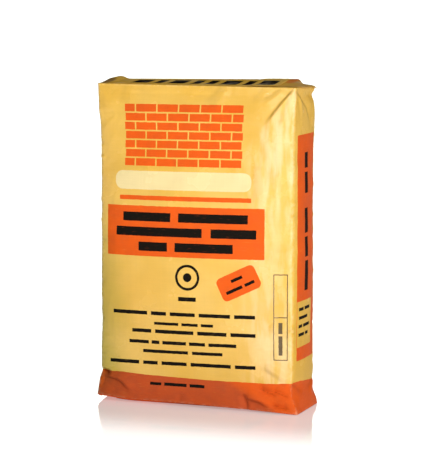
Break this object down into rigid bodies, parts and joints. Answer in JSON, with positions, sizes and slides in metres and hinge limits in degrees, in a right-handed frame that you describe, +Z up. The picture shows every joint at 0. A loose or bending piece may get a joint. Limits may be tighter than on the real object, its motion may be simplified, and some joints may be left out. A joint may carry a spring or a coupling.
{
  "type": "filled cement sack",
  "caption": "Filled block-bottom valve sack of cement standing on its base, with pasted end patches and a tuck-in filling valve at one top corner.",
  "frame": {"origin": "on the floor under the middle of the sack, on the underside of the bottom patch", "axes": "+Z up the standing sack, X along its width, Y through its depth with the printed front towards -Y; the valve corner is at +X, +Y"},
  "size_m": [0.4066, 0.1602, 0.61],
  "materials": {
    "printed_sack": "woven polypropylene with a satin laminated and printed film",
    "patch_yellow": "satin laminated strip, pasted down",
    "patch_orange": "satin laminated strip, pasted down",
    "sleeve_tan": "matte uncoated sleeve"
  },
  "bodies": {
    "root": {"sack_body": "printed_sack", "top_patch": "patch_yellow", "bottom_patch": "patch_orange", "valve_sleeve": "sleeve_tan"}
  },
  "joints": []
}
